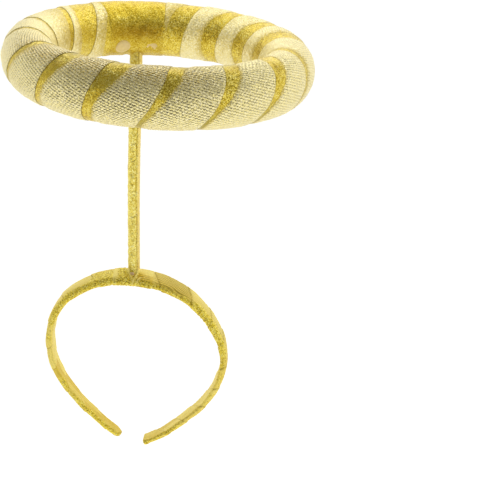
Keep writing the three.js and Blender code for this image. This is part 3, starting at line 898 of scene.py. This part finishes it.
def make_foot_wrap():
    """The cloth round the band at the stem: a thin sleeve that flares up the stem, crinkled on its
    left and smooth on its right, with two folds that cross in front of the stem."""
    distances = np.linspace(foot_distance - FOOT_LENGTH / 2, foot_distance + FOOT_LENGTH / 2, 150)
    points, facings, across, girth = band_surface(distances, grow=0.3, columns=200)
    points, facings, across, girth = points[:, :-1], facings[:, :-1], across[:, :-1], girth[:, :-1]
    right, front = stem_frame()
    beside = (points - stem_foot) @ right
    before = (points - stem_foot) @ front
    is_top = smooth_step(0.2, 0.8, facings @ foot["outward"])
    reach = np.hypot(beside, before)
    flare = 4.6 * np.exp(-np.clip(reach - STEM_DIAMETER / 2 + 0.3, 0, None) / 1.3) * is_top
    edge = np.minimum(distances - distances[0], distances[-1] - distances)[:, None]
    crumple = 1 - 2 * np.abs(wave_field(points, 4.5, seed=31))
    crinkled = smooth_step(3.5, -2, beside) * smooth_step(-13.5, -9, beside)
    pleats = np.sin(beside * 3.4 + 1.6 * np.sin(before * 1.1)) * hump(beside + 9, 4)
    height = 0.3 * crumple * (0.15 + 0.85 * crinkled) + 0.12 * pleats + 0.06 * wave_field(points, 2, seed=32)
    height = height * smooth_step(0, 3, edge) + 0.1
    painted_fold_highlight = 0 * height
    for start, finish in FOOT_FOLDS:
        start, finish = np.array(start), np.array(finish)
        way = unit(finish - start)
        offset = np.stack([beside, before], -1) - start
        gone = np.clip(offset @ way, 0, np.linalg.norm(finish - start))
        off_line = np.linalg.norm(offset - gone[..., None] * way, axis=-1)
        is_outside = smooth_step(-0.6, 0, facings @ foot["outward"])
        height = height + (0.45 * hump(off_line, 0.6) - 0.2 * hump(off_line - 1.3, 0.6)) * is_outside
        # Painted highlight: along each fold's crest the flakes, deep gold and ribs give way to the pale
        # thread.
        painted_fold_highlight = np.maximum(painted_fold_highlight, hump(off_line, 0.75) * is_outside)
    outer = points + facings * height[..., None] + stem_axis * flare[..., None]
    inner = points - facings * 0.35
    grid = np.concatenate([inner[::-1], outer])
    weave = np.stack([girth, distances[:, None] + 0 * girth], -1)
    edges = 20 + 0 * weave
    thick = np.clip(0.25 + 0.7 * crinkled + 0.35 * smooth_step(0.75, 1, across * -1), 0, 1) * (1 - painted_fold_highlight)
    # Painted shade: deeper gold beside and in front of the stem's foot, and in a ring round it.
    shade_beside_stem = 1.1 * smooth_step(2, 5, beside) * smooth_step(0, 5, before) + 0.6 * hump(reach - 6.5, 3)
    flakes = np.stack([thick, shade_beside_stem * (1 - painted_fold_highlight)], -1)
    shaded = smooth_step(1.5, 3.5, beside) * smooth_step(1.5, 5.5, before) * smooth_step(13.5, 11, beside)
    ribs = np.stack([girth / RIB_PITCH, (0.2 + 1.1 * shaded) * (1 - painted_fold_highlight)], -1)
    layers = sleeve_layers({"weave": weave, "edges": edges, "flakes": flakes, "ribs": ribs})
    return grid_object("foot_wrap_cloth", grid, [gold], ring_rows=True, layers=layers)


def blob(name, middle, right, up, out, radii, material):
    """A flat round blob: a dome with a rounded rim on a plane."""
    rows, columns = 14, 40
    turn = np.linspace(0, 2 * math.pi, columns + 1)[:-1]
    profile = np.array([0.02, *np.linspace(0.12, 1, rows)])
    wide, high, thick = radii
    upper = []
    for share in profile:
        lift = thick * (1 - share**4) ** 0.5
        x = wide * share * np.cos(turn)
        y = high * share * np.sin(turn)
        upper.append(middle + np.outer(x, right) + np.outer(y, up) + np.outer(lift + 0 * turn, out))
    lower = [middle - out * 0.4 + (upper[-1 - 4 * k] - middle) * (1 - 0.25 * k) for k in range(1, 3)]
    return grid_object(name, np.array(upper + lower), [material], caps=True)


def bent_blob(name, around, side, radii, material, seed, ragged=0.0, lift=0.7):
    """A flat blob of glue that follows the tube's curve."""
    rows, columns = 12, 48
    turn = np.linspace(0, 2 * math.pi, columns + 1)[:-1]
    chance = np.random.default_rng(seed)
    waves = np.ones(columns)
    for k in range(2, 8):
        waves = waves + ragged / k * np.sin(k * turn + chance.uniform(0, 6.28))
    wide, high, thick = radii
    share = np.concatenate([np.linspace(0.03, 1, rows), [0.97, 0.5, 0.03]])[:, None]
    rise = lift + thick * np.sqrt(np.clip(1 - share[:rows] ** 6, 0, 1))
    sunk = np.full((3, 1), lift - 0.5)
    height = np.concatenate([rise, sunk]) + 0 * turn
    arounds = around + np.degrees(wide * share * waves * np.cos(turn) / ring_radius(side))
    sides = side + np.degrees(high * share * waves * np.sin(turn) / TUBE_RADIUS)
    return grid_object(name, halo_point(arounds, sides, height), [material], caps=True)


core = make_core()
ribbon = make_ribbon()
wrap = make_back_wrap()
stem = make_stem()
band = make_headband()
foot_wrap = make_foot_wrap()

# Glue: half its width, half its height and how thick it is
DISC_SIZES = (5.1, 5.1, 0.7)
SMEAR_SIZES = (4.6, 2.6, 0.2)
BEAD_SIZES = (1.6, 1.5, 1.1)
DISC_SIDE = UNDER_SIDE - 60
DISC_BESIDE_STEM = 10
SMEAR_AROUND = 98.5
SMEAR_SIDE = 208
disc_around = STEM_AROUND + math.degrees(DISC_BESIDE_STEM / ring_radius(DISC_SIDE))
disc = bent_blob("glue_blob", disc_around, DISC_SIDE, DISC_SIZES, glue, seed=41, lift=1.05)
smear = bent_blob(
    "glue_smear", SMEAR_AROUND, SMEAR_SIDE, SMEAR_SIZES, glue, seed=42, ragged=0.22, lift=1.1,
)
right, front = stem_frame()
bead_middle = stem_foot + front * 5.4 - right * 0.9 + foot["outward"] * 1.9
bead = blob("foot_bead", bead_middle, right, foot["outward"], front, BEAD_SIZES, glue_at_foot)

# Pieces ride on the one body and stand for the solids

PIECES = [
    (core, "glitter_cloth", "halo_ring"),
    (ribbon, "pale_ribbon", "halo_ribbon"),
    (wrap, "glitter_cloth", "back_wrap"),
    (stem, "stem_ribbon", "stem"),
    (band, "band_ribbon", "headband"),
    (foot_wrap, "glitter_cloth", "foot_wrap"),
    (disc, "hot_glue", "glue_disc"),
    (smear, "hot_glue", None),
    (bead, "hot_glue", None),
]
for made, slot, node in PIECES:
    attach(made, "root")
    if node:
        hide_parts(node)


# Studio


def make_floor():
    lowest = min(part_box(node)[0].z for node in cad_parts) - FLOOR_DROP * MM
    half = FLOOR_HALF * MM
    mesh = bpy.data.meshes.new("floor")
    corners = [(-half, -half, lowest), (half, -half, lowest), (half, half, lowest), (-half, half, lowest)]
    mesh.from_pydata(corners, [], [(0, 1, 2, 3)])
    shader = Shader("floor")
    shader.finish((0.92, 0.92, 0.91, 1), 0, 0.7)
    shader.surface.inputs["Emission Color"].default_value = (1, 1, 1, 1)
    shader.surface.inputs["Emission Strength"].default_value = 0.5
    mesh.materials.append(shader.material)
    made = bpy.data.objects.new("floor", mesh)
    bpy.context.scene.collection.objects.link(made)


def make_world():
    """A white light tent whose front opening, where a camera stands, is darker."""
    world = bpy.data.worlds.new("tent")
    bpy.context.scene.world = world
    world.use_nodes = True
    tree = world.node_tree
    background = tree.nodes["Background"]
    direction = tree.nodes.new("ShaderNodeTexCoord").outputs["Generated"]
    opening = tree.nodes.new("ShaderNodeVectorMath")
    opening.operation = "DOT_PRODUCT"
    opening.inputs[1].default_value = TENT_OPENING.normalized()
    tree.links.new(direction, opening.inputs[0])
    fade = tree.nodes.new("ShaderNodeMapRange")
    fade.interpolation_type = "SMOOTHSTEP"
    for socket, value in zip(fade.inputs[1:5], (-0.1, 0.8, 1.15, 0.28)):
        socket.default_value = value
    tree.links.new(opening.outputs["Value"], fade.inputs[0])
    seen = tree.nodes.new("ShaderNodeLightPath").outputs["Is Camera Ray"]
    strength = tree.nodes.new("ShaderNodeMix")
    strength.data_type = "FLOAT"
    tree.links.new(seen, strength.inputs["Factor"])
    tree.links.new(fade.outputs[0], strength.inputs[2])
    strength.inputs[3].default_value = 1.1
    tree.links.new(strength.outputs[0], background.inputs["Strength"])
    background.inputs["Color"].default_value = (1, 1, 1, 1)


def make_light(name, place, aim, size, power, is_mirrored=False):
    light = bpy.data.lights.new(name, "AREA")
    light.shape = "DISK"
    light.size = size
    light.energy = power
    made = bpy.data.objects.new(name, light)
    made.location = place
    made.rotation_euler = (Vector(aim) - Vector(place)).to_track_quat("-Z", "Y").to_euler()
    made.visible_glossy = is_mirrored
    made.visible_camera = False
    bpy.context.scene.collection.objects.link(made)


def make_camera():
    data = bpy.data.cameras.new("camera")
    data.lens = CAMERA_LENS
    data.sensor_width = CAMERA_SENSOR
    data.clip_start = 0.05
    data.clip_end = 50
    made = bpy.data.objects.new("camera", data)
    made.location = CAMERA_PLACE * MM
    aim = (CAMERA_AIM - CAMERA_PLACE).to_track_quat("-Z", "Y").to_matrix()
    roll = Matrix.Rotation(math.radians(CAMERA_ROLL), 3, "Z")
    made.rotation_euler = (aim @ roll).to_euler()
    bpy.context.scene.collection.objects.link(made)
    bpy.context.scene.camera = made


make_camera()
make_floor()
make_world()
make_light("key", (-0.5, -0.3, 1.3), (0, -0.05, 0.15), 0.5, 5)
make_light("fill", (0.9, 0.5, 0.9), (0, -0.05, 0.15), 0.6, 4)
make_light("overhead", (0.02, 0.06, 0.3), (0.02, 0.06, 0), 0.28, 0.13, is_mirrored=True)
bpy.context.scene.view_settings.view_transform = "Standard"
